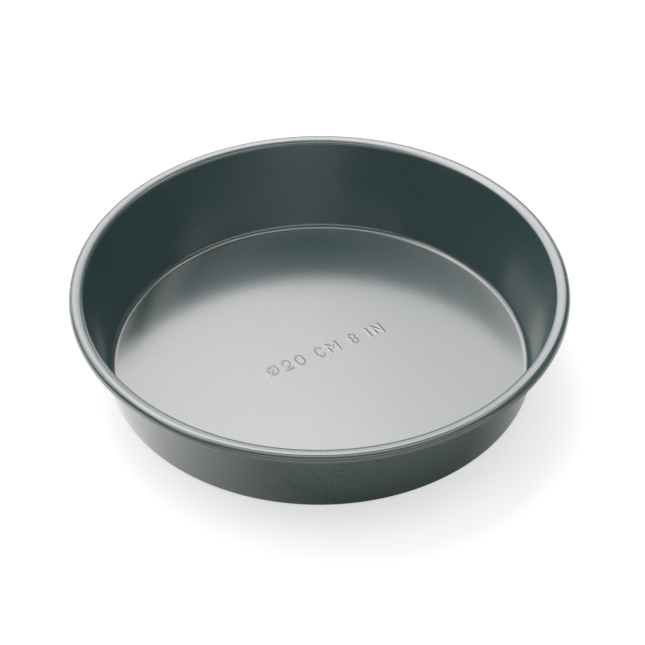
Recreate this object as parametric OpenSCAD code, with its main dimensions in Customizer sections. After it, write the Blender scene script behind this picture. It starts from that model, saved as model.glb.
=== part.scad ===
// Round baking tin with flared sides and a rolled, wired rim.
// The tin is one drawn steel sheet. Its top edge is curled over a steel wire ring.
// Millimetres, +Z up. The origin is the centre of the underside, on the surface it rests on.

/* [Tin] */
// Inside diameter where the wall meets the rolled rim
top_d = 201.3; // [150:0.1:300]
// Height from the underside to the top of the rim
tin_h = 42.5; // [25:0.5:60]
// Lean of the wall away from upright, in degrees
wall_lean = 14; // [5:0.5:25]
// Thickness of the steel sheet
sheet_t = 1; // [0.6:0.05:1.2]
// Inside radius of the corner between floor and wall
corner_r = 3; // [2:0.2:8]

/* [Rolled rim] */
// Outside radius of the curl, half the height of the bead
curl_r = 2.5; // [2:0.05:3.2]
// Outside radius of the domed crown, which rises from the bend to the curl
crown_r = 7.4; // [6:0.1:12]
// Tilt of the crown where it leaves the bend, in degrees
crown_tilt = 24; // [19:1:35]
// Inside radius of the bend that turns the wall outwards into the crown
bend_r = 0.5; // [0.3:0.05:1.5]
// How far the curl goes on past its lowest point, in degrees
curl_tuck = 65; // [20:1:75]

/* [Rim wire] */
// Room between the wire and the inside of the curl
wire_slack = 0.25; // [0.2:0.05:0.5]
// Gap between the butted ends of the wire ring
wire_butt = 1.5; // [0.5:0.1:5]

/* [Size mark] */
// Height of the stamped characters
mark_h = 6.5; // [5:0.1:9]
// Width of a wide character
mark_w = 4.4; // [3:0.1:6]
// Width of a stamped stroke
mark_line = 0.9; // [0.6:0.05:1.2]
// Gap between two characters
mark_gap = 2.1; // [1:0.1:3]
// Extra gap between two words
mark_space = 3.6; // [1:0.1:5]
// Rise of the mark inside, and its depth underneath
mark_rise = 0.15; // [0.1:0.05:0.4]
// Place of the mark's middle to the right of the tin's centre
mark_x = 2; // [-10:0.5:10]
// Place of the mark's middle behind the tin's centre
mark_y = 5.5; // [-10:0.5:10]
// Turn of the mark's line, in degrees
mark_turn = 31; // [0:1:359]

/* [Hidden] */
$fn = 120;

// How far a cut runs past the face that it opens
cut_over = 0.5;
// How far the stretches of the section run into each other, so that they make one piece
lap = 0.02;

// Direction up the wall, and square to it, away from the inside
up_wall = [sin(wall_lean), cos(wall_lean)];
off_wall = [cos(wall_lean), -sin(wall_lean)];

// The crown's arc ends at the top of the tin, right above the centre of the curl
bend_outer = bend_r + sheet_t;
curl_x = top_d / 2 + bend_outer * cos(wall_lean) + (crown_r - bend_outer) * sin(crown_tilt);
crown_c = [curl_x, tin_h - crown_r];
curl_c = [curl_x, tin_h - curl_r];
bend_c = crown_c + (crown_r - bend_outer) * [-sin(crown_tilt), cos(crown_tilt)];

// The wall's inner face runs from the corner to the start of the bend
wall_top = bend_c - bend_outer * off_wall;
corner_outer = corner_r + sheet_t;
wall_run = (wall_top[1] - corner_outer - corner_r * off_wall[1]) / up_wall[1];
wall_foot = wall_top - wall_run * up_wall;
// Centre of the corner's arcs, which is above the rim of the flat floor
corner_c = wall_foot - corner_r * off_wall;

// The wire fills the curl, but for its slack
wire_r = curl_r - sheet_t - wire_slack;
wire_open = wire_butt / curl_c[0] * 180 / PI;

// Characters of the size mark in their order. A dash stands for a space between words.
MARK = ["dia", "2", "0", "-", "C", "M", "-", "8", "-", "I", "N"];
// Outer radius of a character's bow, and of the smaller bows of the eight
bow_r = mark_w / 2;
eight_r = (mark_h + mark_line) / 4;
// The diameter sign is a ring in the middle of the line, with a slash that stands out by this
slash_out = 0.9;
dia_r = mark_h / 2 - slash_out / 2;

// Width that a character takes
function glyph_w(g) =
    g == "-" ? mark_space - mark_gap
    : g == "I" ? mark_line
    : g == "8" ? 2 * eight_r
    : g == "dia" ? 2 * dia_r
    : g == "M" ? mark_w + mark_line
    : mark_w;

// Left edge of the character with this number
function glyph_x(i) = i == 0 ? 0 : glyph_x(i - 1) + glyph_w(MARK[i - 1]) + mark_gap;

mark_len = glyph_x(len(MARK) - 1) + glyph_w(MARK[len(MARK) - 1]);

// Part of a flat ring between two radii, from one angle up to a larger one
module ring_part(r_in, r_out, from, to) {
    steps = ceil((to - from) / 60);
    reach = 2 * r_out;
    fan = [for (i = [0:steps]) from + (to - from) * i / steps];
    intersection() {
        difference() {
            circle(r_out);
            circle(r_in);
        }
        polygon(concat([[0, 0]], [for (a = fan) reach * [cos(a), sin(a)]]));
    }
}

// The lap as an angle, on an arc of this radius
function lap_turn(r) = lap / r * 180 / PI;

// Section of the sheet, from the centre of the floor to the cut edge under the bead
module sheet_section() {
    foot = wall_foot - lap * up_wall;
    top = wall_top + lap * up_wall;
    square([corner_c[0], sheet_t]);
    translate(corner_c)
        ring_part(corner_r, corner_outer, 270, 360 - wall_lean);
    polygon([foot, foot + sheet_t * off_wall, top + sheet_t * off_wall, top]);
    translate(bend_c)
        ring_part(bend_r, bend_outer, 90 + crown_tilt - lap_turn(bend_outer), 180 - wall_lean);
    translate(crown_c)
        ring_part(crown_r - sheet_t, crown_r, 90, 90 + crown_tilt);
    translate(curl_c)
        ring_part(curl_r - sheet_t, curl_r, -90 - curl_tuck, 90 + lap_turn(curl_r));
}

// A straight stroke between two points, square at its ends
module stroke(a, b) {
    run = b - a;
    translate(a)
        rotate(atan2(run[1], run[0]))
            translate([-mark_line / 2, -mark_line / 2])
                square([norm(run) + mark_line, mark_line]);
}

// A bowed stroke round a centre
module bow(c, r, from, to) {
    translate(c)
        ring_part(r - mark_line, r, from, to);
}

// One character, its lower left corner at the origin
module glyph(g) {
    // Middle lines of the outer strokes
    lo = mark_line / 2;
    right = mark_w - lo;
    top = mark_h - lo;
    top_c = [bow_r, mark_h - bow_r];
    low_c = [bow_r, bow_r];
    if (g == "2") {
        bow(top_c, bow_r, -45, 180);
        stroke(top_c + (bow_r - lo) * [cos(45), -sin(45)], [lo, lo]);
        stroke([lo, lo], [right, lo]);
    }
    if (g == "0" || g == "C") {
        open = g == "C" ? 35 : 0;
        bow(top_c, bow_r, open, 180);
        bow(low_c, bow_r, 180, 360 - open);
        translate([0, bow_r])
            square([mark_line, mark_h - 2 * bow_r]);
    }
    if (g == "0") {
        translate([mark_w - mark_line, bow_r])
            square([mark_line, mark_h - 2 * bow_r]);
    }
    if (g == "M") {
        far = right + mark_line;
        stroke([lo, lo], [lo, top]);
        stroke([lo, top], [(lo + far) / 2, mark_h / 2]);
        stroke([(lo + far) / 2, mark_h / 2], [far, top]);
        stroke([far, lo], [far, top]);
    }
    if (g == "N") {
        stroke([lo, lo], [lo, top]);
        stroke([lo, top], [right, lo]);
        stroke([right, lo], [right, top]);
    }
    if (g == "I") {
        stroke([lo, lo], [lo, top]);
    }
    if (g == "8") {
        bow([eight_r, eight_r], eight_r, 0, 360);
        bow([eight_r, mark_h - eight_r], eight_r, 0, 360);
    }
    if (g == "dia") {
        mid = [dia_r, mark_h / 2];
        half = (dia_r + slash_out / 2) * [cos(45), sin(45)];
        bow(mid, dia_r, 0, 360);
        stroke(mid - half, mid + half);
    }
}

// The line of characters, its middle at the mark's place
module mark_line_of_glyphs() {
    translate([mark_x, mark_y])
        rotate(mark_turn)
            translate([-mark_len / 2, -mark_h / 2])
                for (i = [0:len(MARK) - 1])
                    translate([glyph_x(i), 0])
                        glyph(MARK[i]);
}

// The drawn sheet: floor, corner, flared wall and rolled rim, with the size mark pressed up
module tin_shell() {
    color([0.23, 0.26, 0.25])
        difference() {
            union() {
                rotate_extrude()
                    sheet_section();
                translate([0, 0, sheet_t / 2])
                    linear_extrude(sheet_t / 2 + mark_rise)
                        mark_line_of_glyphs();
            }
            translate([0, 0, -cut_over])
                linear_extrude(cut_over + mark_rise)
                    mark_line_of_glyphs();
        }
}

// The steel wire ring inside the curl, its ends butted at the back
module rim_wire() {
    color([0.62, 0.63, 0.64])
        rotate([0, 0, 90 + wire_open / 2])
            rotate_extrude(angle = 360 - wire_open)
                translate(curl_c)
                    circle(wire_r);
}

tin_shell();
rim_wire();
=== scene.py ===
# %% [markdown]
# A round, deep baking tin with flared sides and a rolled rim, in dark metallic non-stick.
# The real tin is one disc of sheet steel, drawn into a dish, with its edge rolled outwards round a
# wire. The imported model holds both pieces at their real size. This file gives them their looks:
# a fine mesh for the sheet, a finish for the coat and for the wire, and a studio round them.

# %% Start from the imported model
import math

import bpy
import numpy as np
from mathutils import Matrix, Vector


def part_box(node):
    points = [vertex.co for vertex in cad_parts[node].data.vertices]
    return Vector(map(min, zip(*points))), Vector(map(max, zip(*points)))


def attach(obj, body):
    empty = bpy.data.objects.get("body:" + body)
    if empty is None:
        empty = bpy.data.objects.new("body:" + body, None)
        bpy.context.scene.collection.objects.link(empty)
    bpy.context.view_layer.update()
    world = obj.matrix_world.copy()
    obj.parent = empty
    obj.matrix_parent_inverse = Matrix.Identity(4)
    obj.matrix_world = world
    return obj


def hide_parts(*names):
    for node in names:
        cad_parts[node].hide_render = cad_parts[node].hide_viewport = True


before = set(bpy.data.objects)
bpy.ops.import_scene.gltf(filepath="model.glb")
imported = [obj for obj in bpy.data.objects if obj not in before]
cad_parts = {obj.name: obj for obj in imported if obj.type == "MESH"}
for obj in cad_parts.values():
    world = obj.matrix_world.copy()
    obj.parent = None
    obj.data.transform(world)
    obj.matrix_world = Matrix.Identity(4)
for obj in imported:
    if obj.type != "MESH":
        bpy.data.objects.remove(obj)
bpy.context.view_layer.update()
MM = 0.001

# %% [markdown]
# The camera comes first, because every later choice is judged through it. The photograph looks
# down at the tin from about 40 degrees, from far enough away for the far rim to look nearly as wide
# as the near one. A focal length in pixels and a distance say that exactly: the lens follows from
# the sensor's width, and the aim lies a little below the bead's centre, as the tin sits high in
# the frame.

# %% Camera
PHOTO_PX = 645
FOCAL_PX = 3000
SENSOR_MM = 36
bead_level = 40.25 * MM
view_down = math.radians(40.2166)
view_away = 1.2802
aim_right, aim_down = 1.17 * MM, 14.01 * MM
view_roll = -0.005

camera_data = bpy.data.cameras.new("camera")
camera = bpy.data.objects.new("camera", camera_data)
bpy.context.collection.objects.link(camera)
camera_data.sensor_width = SENSOR_MM
camera_data.lens = FOCAL_PX / PHOTO_PX * SENSOR_MM
bead_centre = Vector((0, 0, bead_level))
back = Vector((0, -math.cos(view_down), math.sin(view_down)))
image_up = Vector((0, math.sin(view_down), math.cos(view_down)))
aim = bead_centre + Vector((aim_right, 0, 0)) - aim_down * image_up
eye = bead_centre + view_away * back
turn = (aim - eye).to_track_quat("-Z", "Y").to_matrix() @ Matrix.Rotation(view_roll, 3, "Z")
camera.matrix_world = Matrix.Translation(eye) @ turn.to_4x4()
bpy.context.scene.camera = camera
print("lens", round(camera_data.lens, 2), "mm, eye", [round(v, 4) for v in eye])

# %% [markdown]
# The sheet's section is a line of steel 1 mm thick: floor, corner, leaning wall, a tight bend
# outwards, a gently domed crown that still rises, and a curl that ends under the bead. It could be
# drawn by hand as a curve and given thickness with Solidify, but then the two sides of a tight curl
# would not keep their own true arcs. Here the whole outline is worked out as arcs and straight runs
# that meet at the same tangent, so the light glides over the joins. The overall radius and the
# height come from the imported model.

# %% The section's sizes
tin_lo, tin_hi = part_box("tin_shell")
rim_radius = min(-tin_lo[0], -tin_lo[1], tin_hi[0], tin_hi[1])
tin_h = tin_hi[2]
sheet_t = 1 * MM
wall_lean = 14
corner_r = 3 * MM
curl_r = 2.5 * MM
crown_r = 7.4 * MM
crown_tilt = 24
bend_r = 0.5 * MM
curl_tuck = 65
up_wall = np.array([math.sin(math.radians(wall_lean)), math.cos(math.radians(wall_lean))])
off_wall = np.array([up_wall[1], -up_wall[0]])
curl_c = np.array([rim_radius - curl_r, tin_h - curl_r])
crown_c = np.array([curl_c[0], tin_h - crown_r])
bend_outer = bend_r + sheet_t
tilted = math.radians(90 + crown_tilt)
bend_c = crown_c + (crown_r - bend_outer) * np.array([math.cos(tilted), math.sin(tilted)])
wall_top = bend_c - bend_outer * off_wall
wall_run = (wall_top[1] - corner_r - sheet_t - corner_r * off_wall[1]) / up_wall[1]
wall_foot = wall_top - wall_run * up_wall
corner_c = wall_foot - corner_r * off_wall
print("inside top", round(2 * wall_top[0] / MM, 2), "mm, floor", round(2 * corner_c[0] / MM, 2), "mm")

# %% The section as one line of points
STEEP = 360 - wall_lean
edge_round = 0.2 * MM


def arc(centre, radius, start, end, steps):
    """Points of an arc: the centre plus the radius times the cosine and sine of even angles."""
    a = np.radians(np.linspace(start, end, steps + 1))
    return centre + radius * np.stack([np.cos(a), np.sin(a)], axis=1)


def between(a, b, steps):
    """Points between two ends, which are left out: one end plus even shares of the way."""
    share = np.linspace(0, 1, steps + 1)[1:-1, None]
    return a + share * (b - a)


def cut_edge():
    """The sheet's cut end under the bead: two small quarter rounds on a straight cut."""
    cut = np.radians(-90 - curl_tuck)
    out = np.array([np.cos(cut), np.sin(cut)])
    on = np.array([np.sin(cut), -np.cos(cut)])
    turn_by = np.radians(np.linspace(0, 90, 4))[:, None]
    outer = curl_c + (curl_r - edge_round) * out
    inner = curl_c + (curl_r - sheet_t + edge_round) * out
    first = outer + edge_round * (np.cos(turn_by) * out + np.sin(turn_by) * on)
    last = inner + edge_round * (np.sin(turn_by) * on - np.cos(turn_by) * out)
    return np.concatenate([first, last[::-1]])


corner_outer = corner_r + sheet_t
CROWN_START = 90 + crown_tilt
EDGE_LEAD = 2
CURL_END = -90 - curl_tuck + EDGE_LEAD
# The last number is the count of steps, higher where an arc mirrors thin lines of light
section = np.concatenate([
    arc(corner_c, corner_r, 270, STEEP, 12),
    between(wall_foot, wall_top, 5),
    arc(bend_c, bend_outer, 180 - wall_lean, CROWN_START, 14),
    arc(crown_c, crown_r, CROWN_START, 90, 10)[1:],
    arc(curl_c, curl_r, 90, CURL_END, 28)[1:],
    cut_edge(),
    arc(curl_c, curl_r - sheet_t, CURL_END, 90, 10),
    arc(crown_c, crown_r - sheet_t, 90, CROWN_START, 2)[1:],
    arc(bend_c, bend_r, CROWN_START, 180 - wall_lean, 4)[1:],
    between(wall_top + sheet_t * off_wall, wall_foot + sheet_t * off_wall, 4),
    arc(corner_c, corner_outer, STEEP, 270, 10),
])
print("section:", len(section), "points")

# %% [markdown]
# The floor of such a tin often carries its size, pressed up from below with a punch: the strokes
# stand a fraction of a millimetre proud inside and are hollow underneath. A font made into a mesh
# would give hard walls and tangled faces. A height worked out from the distance to each stroke's
# middle line gives the soft shoulders of pressed steel, on an even grid.

# %% The size mark's strokes
mark_h = 6.5 * MM
mark_w = 4.4 * MM
mark_line = 0.9 * MM
mark_gap = 2.1 * MM
mark_space = 3.6 * MM
mark_rise = 0.15 * MM
mark_at = np.array([2, 5.5]) * MM
mark_turn = math.radians(31)
slash_out = 0.9 * MM
lo = mark_line / 2
bow = mark_w / 2 - lo
small_bow = (mark_h + mark_line) / 4 - lo
dia_bow = mark_h / 2 - slash_out / 2 - lo


def line(x0, y0, x1, y1):
    """A straight stroke, as its two ends."""
    return ("line", np.array([x0, y0]), np.array([x1, y1]))


def curve(x, y, radius, start, end):
    """A bowed stroke, as its centre, its radius and its two angles in degrees."""
    return ("curve", np.array([x, y]), radius, start, end)


def glyph(g):
    """A character's strokes and its width, from its lower left corner."""
    right, top, mid = mark_w - lo, mark_h - lo, mark_w / 2
    low_c, top_c = mark_w / 2, mark_h - mark_w / 2
    if g == "2":
        dip = bow * math.cos(math.radians(45))
        return [curve(mid, top_c, bow, -45, 180), line(mid + dip, top_c - dip, lo, lo),
                line(lo, lo, right, lo)], mark_w
    if g in "0C":
        gape = 35 if g == "C" else 0
        sides = [line(lo, low_c, lo, top_c)] + [line(right, low_c, right, top_c)] * (g == "0")
        return [curve(mid, top_c, bow, gape, 180), curve(mid, low_c, bow, 180, 360 - gape),
                *sides], mark_w
    if g == "M":
        far = right + mark_line
        dip_x = (lo + far) / 2
        return [line(lo, lo, lo, top), line(lo, top, dip_x, mark_h / 2),
                line(dip_x, mark_h / 2, far, top), line(far, lo, far, top)], mark_w + mark_line
    if g == "N":
        return [line(lo, lo, lo, top), line(lo, top, right, lo),
                line(right, lo, right, top)], mark_w
    if g == "I":
        return [line(lo, lo, lo, top)], mark_line
    if g == "8":
        r = small_bow + lo
        return [curve(r, r, small_bow, 0, 360), curve(r, mark_h - r, small_bow, 0, 360)], 2 * r
    r = dia_bow + lo
    reach = (r + slash_out / 2) * math.cos(math.radians(45))
    return [curve(r, mark_h / 2, dia_bow, 0, 360),
            line(r - reach, mark_h / 2 - reach, r + reach, mark_h / 2 + reach)], 2 * r


def mark_strokes():
    """All strokes of the line, each with its character's left edge, and the line's length."""
    strokes, x = [], 0.0
    for g in ["dia", "2", "0", "-", "C", "M", "-", "8", "-", "I", "N"]:
        if g == "-":
            x += mark_space
            continue
        parts, width = glyph(g)
        strokes += [(x, part) for part in parts]
        x += width + mark_gap
    return strokes, x - mark_gap


strokes, mark_len = mark_strokes()
print("mark:", len(strokes), "strokes,", round(mark_len / MM, 2), "mm long")

# %% The mark's height at any place
shoulder = 0.65 * MM


def to_line(p, a, b):
    """Distance to a straight stroke: to the nearest of its points, found by projection."""
    run = b - a
    share = np.clip((p - a) @ run / (run @ run), 0, 1)
    return np.linalg.norm(p - a - share[..., None] * run, axis=-1)


def to_curve(p, centre, radius, start, end):
    """Distance to a bowed stroke: to its circle within its angles, else to its nearer end."""
    away = p - centre
    middle, half = np.radians((start + end) / 2), np.radians((end - start) / 2)
    turned = np.arctan2(away[..., 1], away[..., 0]) - middle
    turned = np.abs((turned + np.pi) % (2 * np.pi) - np.pi)
    ends = [centre + radius * np.array([np.cos(a), np.sin(a)]) for a in (middle - half, middle + half)]
    to_end = np.minimum(*(np.linalg.norm(p - e, axis=-1) for e in ends))
    return np.where(turned <= half, np.abs(np.linalg.norm(away, axis=-1) - radius), to_end)


def mark_height(u, v):
    """Height of the pressed mark: its rise where the nearest stroke's middle line is closer than
    half a stroke, then a smooth step down over the shoulder's width."""
    nearest = np.full(u.shape, np.inf)
    for x, (kind, *shape) in strokes:
        p = np.stack([u + mark_len / 2 - x, v + mark_h / 2], axis=-1)
        far = to_line(p, *shape) if kind == "line" else to_curve(p, *shape)
        nearest = np.minimum(nearest, far)
    t = np.clip((lo + shoulder / 2 - nearest) / shoulder, 0, 1)
    return mark_rise * t * t * (3 - 2 * t)


# %% [markdown]
# The sheet itself is one closed surface. A grid lies under the size mark, where detail is small.
# From the grid's border, rings widen to the edge of the floor, and from there each point of the
# section is carried round the axis. Underneath, the same rings come back to a second grid, so that
# no seam, pole or open edge is left. All of it is worked out as whole arrays.

# %% The closed surface of the sheet
grid_step = 0.25 * MM
grid_margin = 1.2 * MM
FLOOR_RINGS, UNDER_RINGS = 8, 4


def sheet_surface():
    """Points and quads of the whole sheet.

    Grid: place = mark's middle + u along its line + v across it, height = the mark's height.
    Floor: each border point moves to its place on the floor's edge by even shares of the way.
    Rings: (r, z) of the section becomes (r cos a, r sin a, z) for the angle a of each border point.
    """
    half_u, half_v = mark_len / 2 + grid_margin, mark_h / 2 + grid_margin
    nu, nv = (2 * math.ceil(h / grid_step) for h in (half_u, half_v))
    u_marks, v_marks = np.linspace(-half_u, half_u, nu + 1), np.linspace(-half_v, half_v, nv + 1)
    u, v = np.meshgrid(u_marks, v_marks, indexing="ij")
    along = np.array([math.cos(mark_turn), math.sin(mark_turn)])
    across = np.array([-along[1], along[0]])
    flat = mark_at + u[..., None] * along + v[..., None] * across
    lift = mark_height(u, v)
    number = np.arange((nu + 1) * (nv + 1)).reshape(nu + 1, nv + 1)
    border = np.concatenate([number[:-1, 0], number[-1, :-1], number[:0:-1, -1], number[0, :0:-1]])
    n = len(border)
    angle = mark_turn + 2 * np.pi * (np.arange(n) - nu - nv / 2) / n
    around = np.stack([np.cos(angle), np.sin(angle)], axis=1)

    def widening(z, count):
        """Rings between the grid's border and the floor's edge, both left out."""
        share = (np.arange(1, count + 1) / (count + 1))[:, None, None]
        start = flat.reshape(-1, 2)[border]
        xy = start + share * (corner_c[0] * around - start)
        return np.concatenate([xy, np.full((count, n, 1), z)], axis=2)

    ring_xy = section[:, 0, None, None] * around
    ring_z = np.broadcast_to(section[:, 1, None, None], (len(section), n, 1))
    turned = np.concatenate([ring_xy, ring_z], axis=2)
    rings = np.concatenate([widening(sheet_t, FLOOR_RINGS), turned, widening(0.0, UNDER_RINGS)[::-1]])
    top = np.concatenate([flat, (sheet_t + lift)[..., None]], axis=2).reshape(-1, 3)
    under = np.concatenate([flat, lift[..., None]], axis=2).reshape(-1, 3)
    points = np.concatenate([top, under, rings.reshape(-1, 3)])

    ring_number = 2 * len(top) + np.arange(len(rings) * n).reshape(-1, n)
    chain = np.concatenate([border[None], ring_number, len(top) + border[None]])
    nxt = np.roll(chain, -1, axis=1)
    bands = np.stack([chain[:-1], chain[1:], nxt[1:], nxt[:-1]], axis=-1).reshape(-1, 4)
    cells = [number[:-1, :-1], number[1:, :-1], number[1:, 1:], number[:-1, 1:]]
    cells = np.stack(cells, axis=-1).reshape(-1, 4)
    return points, np.concatenate([cells, len(top) + cells[:, ::-1], bands])


def mesh_object(name, points, quads):
    """A smooth-shaded mesh object at the origin, from arrays of points and of four-cornered faces."""
    mesh = bpy.data.meshes.new(name)
    mesh.vertices.add(len(points))
    mesh.vertices.foreach_set("co", points.astype(np.float32).ravel())
    mesh.loops.add(quads.size)
    mesh.loops.foreach_set("vertex_index", quads.astype(np.int32).ravel())
    mesh.polygons.add(len(quads))
    mesh.polygons.foreach_set("loop_start", np.arange(0, quads.size, 4, dtype=np.int32))
    mesh.update(calc_edges=True)
    mesh.validate()
    mesh.shade_smooth()
    piece = bpy.data.objects.new(name, mesh)
    bpy.context.collection.objects.link(piece)
    return piece


sheet = mesh_object("tin_sheet", *sheet_surface())
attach(sheet, "root")
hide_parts("tin_shell")
print("sheet:", 2 * len(sheet.data.polygons), "triangles")

# %% [markdown]
# The coat is a sprayed non-stick resin, dark grey with a green cast, with fine metal flake in it.
# Its body colour is matt and dark, and it shows where the tin reflects nothing bright. Over that it
# mirrors softly, several times more strongly than plain paint and a shade warmer than the body,
# because of the flake. A metal under a clear layer could be tried, but its colour would tint every
# reflection green. One Principled shader does it: a dark green-grey base under a surface of high
# index, satin rough. The flake speckles the base faintly in cells of about half a millimetre, and
# spraying leaves the coat very slightly pebbled at about twice that size, which a bump from noise
# gives.

# %% Node helpers
def node(tree, kind, **inputs):
    """A new node with its inputs set by name, where an underscore stands for a space."""
    made = tree.nodes.new(kind)
    for key, value in inputs.items():
        made.inputs[key.replace("_", " ")].default_value = value
    return made


def remap(tree, value, low, high, to_low, to_high):
    """A value's range carried over to another one, clamped."""
    made = node(tree, "ShaderNodeMapRange", From_Min=low, From_Max=high, To_Min=to_low, To_Max=to_high)
    tree.links.new(value, made.inputs["Value"])
    return made.outputs["Result"]


def noise(tree, place, size, detail=2.0):
    """Noise whose patches are about this size in metres."""
    made = node(tree, "ShaderNodeTexNoise", Scale=1 / size, Detail=detail)
    tree.links.new(place, made.inputs["Vector"])
    return made.outputs["Fac"]


def blank_material(name):
    """A material with one Principled shader, and the shader, its tree and Object coordinates."""
    material = bpy.data.materials.new(name)
    material.use_nodes = True
    tree = material.node_tree
    shader = next(n for n in tree.nodes if n.type == "BSDF_PRINCIPLED")
    place = tree.nodes.new("ShaderNodeTexCoord").outputs["Object"]
    return material, shader, tree, place


# %% The coat
COAT_DARK = (0.0445, 0.0905, 0.0855, 1)
COAT_LIGHT = (0.0495, 0.0995, 0.0945, 1)
COAT_INDEX = 2.32
MIRROR_TINT = (1, 0.93, 0.957, 1)
ROUGH_LOW, ROUGH_HIGH = 0.18, 0.2
CLOUD_SIZE, FLAKE_SIZE, PEBBLE_SIZE = 30 * MM, 0.6 * MM, 1.0 * MM
PEBBLE_RISE = 0.012 * MM


def coat():
    """Dark green-grey resin with a strong satin surface, speckled by flakes and pebbled by noise."""
    material, shader, tree, place = blank_material("nonstick_coat")
    shader.inputs["IOR"].default_value = COAT_INDEX
    shader.inputs["Specular Tint"].default_value = MIRROR_TINT
    cloud = noise(tree, place, CLOUD_SIZE)
    flake = node(tree, "ShaderNodeTexVoronoi", Scale=1 / FLAKE_SIZE)
    tree.links.new(place, flake.inputs["Vector"])
    speckle = node(tree, "ShaderNodeSeparateColor")
    tree.links.new(flake.outputs["Color"], speckle.inputs["Color"])
    tone = node(tree, "ShaderNodeMix")
    tone.data_type = "RGBA"
    tone.inputs[6].default_value = COAT_DARK
    tone.inputs[7].default_value = COAT_LIGHT
    tree.links.new(speckle.outputs["Red"], tone.inputs[0])
    tree.links.new(tone.outputs[2], shader.inputs["Base Color"])
    rough = remap(tree, cloud, 0.3, 0.7, ROUGH_LOW, ROUGH_HIGH)
    tree.links.new(rough, shader.inputs["Roughness"])
    pebble = node(tree, "ShaderNodeBump", Strength=1.0, Distance=PEBBLE_RISE)
    tree.links.new(noise(tree, place, PEBBLE_SIZE, 0.0), pebble.inputs["Height"])
    tree.links.new(pebble.outputs["Normal"], shader.inputs["Normal"])
    return material


sheet.data.materials.append(coat())

# %% [markdown]
# The wire inside the rim is plain drawn steel. Only a sliver of it shows from below, in the slit
# that the curl leaves open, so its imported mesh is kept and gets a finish: bright grey metal,
# mottled a little where the wire has dulled, with a roughness that varies with the same patches.

# %% The wire
STEEL_DULL = (0.5, 0.51, 0.52, 1)
STEEL_BRIGHT = (0.64, 0.65, 0.66, 1)


def drawn_steel():
    """Bright steel, its colour and roughness mottled by one fine noise."""
    material, shader, tree, place = blank_material("drawn_steel")
    shader.inputs["Metallic"].default_value = 1
    mottle = noise(tree, place, 0.2 * MM, 3.0)
    tone = node(tree, "ShaderNodeMix")
    tone.data_type = "RGBA"
    tone.inputs[6].default_value = STEEL_DULL
    tone.inputs[7].default_value = STEEL_BRIGHT
    tree.links.new(mottle, tone.inputs[0])
    tree.links.new(tone.outputs[2], shader.inputs["Base Color"])
    tree.links.new(remap(tree, mottle, 0.3, 0.7, 0.45, 0.25), shader.inputs["Roughness"])
    return material


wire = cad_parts["rim_wire"]
for entry in wire.material_slots:
    entry.material = drawn_steel()
print("wire slots:", len(wire.material_slots))

# %% [markdown]
# The tin stands on a pale matt table. To the camera the table gives a little light of its own, so
# that it reads as white while the tin's shadow stays on it. To glossy rays it also glows, as a
# painted pool of light that brightens from the front right to the back left: that painted light is
# what fades the ends of the outer wall into the white around them. In front of the tin it is only as
# bright as its paint.

# %% The table
table_half = 6.0
TABLE_COLOUR = (0.66, 0.66, 0.66, 1)
glow_seen = 0.6
# glow_mirrored and the slope below are a painted pool of light on the table, seen only in reflections
glow_mirrored = 1.0
glow_toward = (-0.34, 0.94, 0)
glow_starts, glow_full = -90 * MM, -20 * MM


def math_node(tree, operation, a, b):
    """The sum or the product of two values."""
    made = node(tree, "ShaderNodeMath")
    made.operation = operation
    tree.links.new(a, made.inputs[0])
    tree.links.new(b, made.inputs[1])
    return made.outputs["Value"]


def table_finish():
    """Pale matt paint. Its glow is one value for the camera, and for glossy rays a slope that
    rises with the distance in one direction: the place's dot product with it, remapped."""
    material, shader, tree, place = blank_material("table_paint")
    shader.inputs["Base Color"].default_value = TABLE_COLOUR
    shader.inputs["Roughness"].default_value = 1
    shader.inputs["Specular IOR Level"].default_value = 0
    shader.inputs["Emission Color"].default_value = (1, 1, 1, 1)
    ray = tree.nodes.new("ShaderNodeLightPath").outputs
    along = node(tree, "ShaderNodeVectorMath")
    along.operation = "DOT_PRODUCT"
    along.inputs[1].default_value = glow_toward
    tree.links.new(place, along.inputs[0])
    # Painted light: the table glows to glossy rays more strongly towards the back left, though no lamp
    # lights it there
    slope = remap(tree, along.outputs["Value"], glow_starts, glow_full, 0, glow_mirrored)
    mirrored = math_node(tree, "MULTIPLY", slope, ray["Is Glossy Ray"])
    seen = remap(tree, ray["Is Camera Ray"], 0, 1, 0, glow_seen)
    tree.links.new(math_node(tree, "ADD", seen, mirrored), shader.inputs["Emission Strength"])
    return material


table_below = 0.05 * MM
corners = table_half * np.array([[-1, -1, 0], [1, -1, 0], [1, 1, 0], [-1, 1, 0]])
table = mesh_object("table", corners - [0, 0, table_below], np.array([[0, 1, 2, 3]]))
table.data.materials.append(table_finish())

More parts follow.
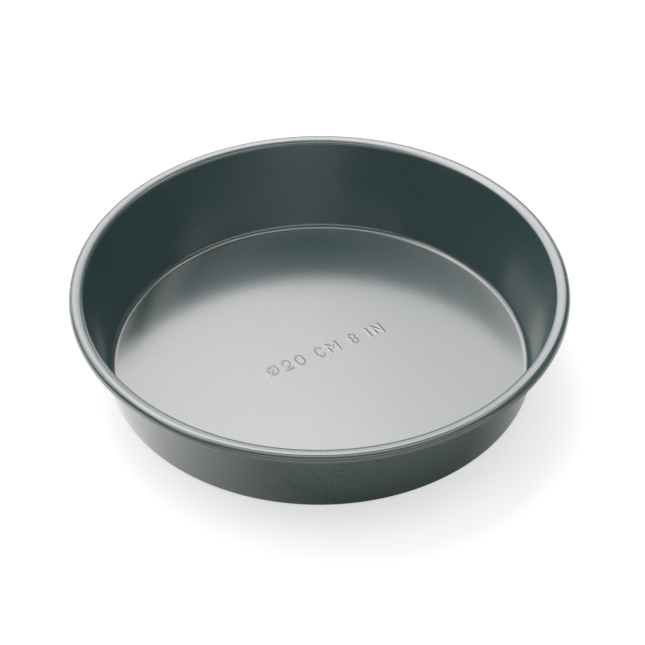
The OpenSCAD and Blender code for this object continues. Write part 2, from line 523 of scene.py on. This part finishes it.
# %% [markdown]
# A satin coat shows where the light comes from, so each lamp is placed by its direction and by the
# angle that it fills, as seen from the tin. One large soft box stands behind the tin and to the
# left. It is brightest in its middle, so three panels lie over each other. The floor of the tin
# mirrors it. A low, wide wall carries its light on down behind the tin and brightens the rim. It
# ends a little above the table, which leaves a thin dark line on the inner edge of the near rim.
# A small lamp to the right lifts the left edge of the floor. A panel overhead draws the bright line
# where the floor turns up into the wall, and a low strip on the viewer's side draws the faint line
# above that. The room itself is dim, which keeps the walls dark.

# %% Lamps and room
lamps_away = 3.0


def panel(name, azimuth, elevation, wide, high, radiance):
    """A soft panel that faces the tin and fills this many degrees across and up, seen from it.

    Azimuth 0 is behind the tin and turns to the right. The panel's half width and half height are
    its distance times the tangents of the half angles.
    """
    a, e = math.radians(azimuth), math.radians(elevation)
    data = bpy.data.lights.new(name, "AREA")
    data.shape = "RECTANGLE"
    data.size = 2 * lamps_away * math.tan(math.radians(wide / 2))
    data.size_y = 2 * lamps_away * math.tan(math.radians(high / 2))
    data.energy = radiance * math.pi * data.size * data.size_y
    lamp = bpy.data.objects.new(name, data)
    bpy.context.collection.objects.link(lamp)
    toward = Vector((math.sin(a) * math.cos(e), math.cos(a) * math.cos(e), math.sin(e)))
    lamp.location = lamps_away * toward
    lamp.rotation_mode = "QUATERNION"
    lamp.rotation_quaternion = toward.to_track_quat("Z", "Y")
    lamp.visible_camera = False
    return lamp


panel("soft_box", -32, 48, 74, 46, 1.59)
panel("soft_box_core", -20, 47, 32, 37, 1.38)
panel("soft_box_edge", -50, 64, 110, 20, 1)
panel("low_wall", -10, 17, 80, 18, 1.4)
panel("right_lamp", 61, 58, 16, 12, 2.44)
panel("overhead_panel", 177, 82, 65, 24, 1.44)
panel("low_strip", 163, 26, 110, 12, 1.3)
world = bpy.data.worlds.new("room")
bpy.context.scene.world = world
world.use_nodes = True
world.node_tree.nodes["Background"].inputs["Color"].default_value = (0.17, 0.17, 0.17, 1)
bpy.context.scene.view_settings.view_transform = "Standard"
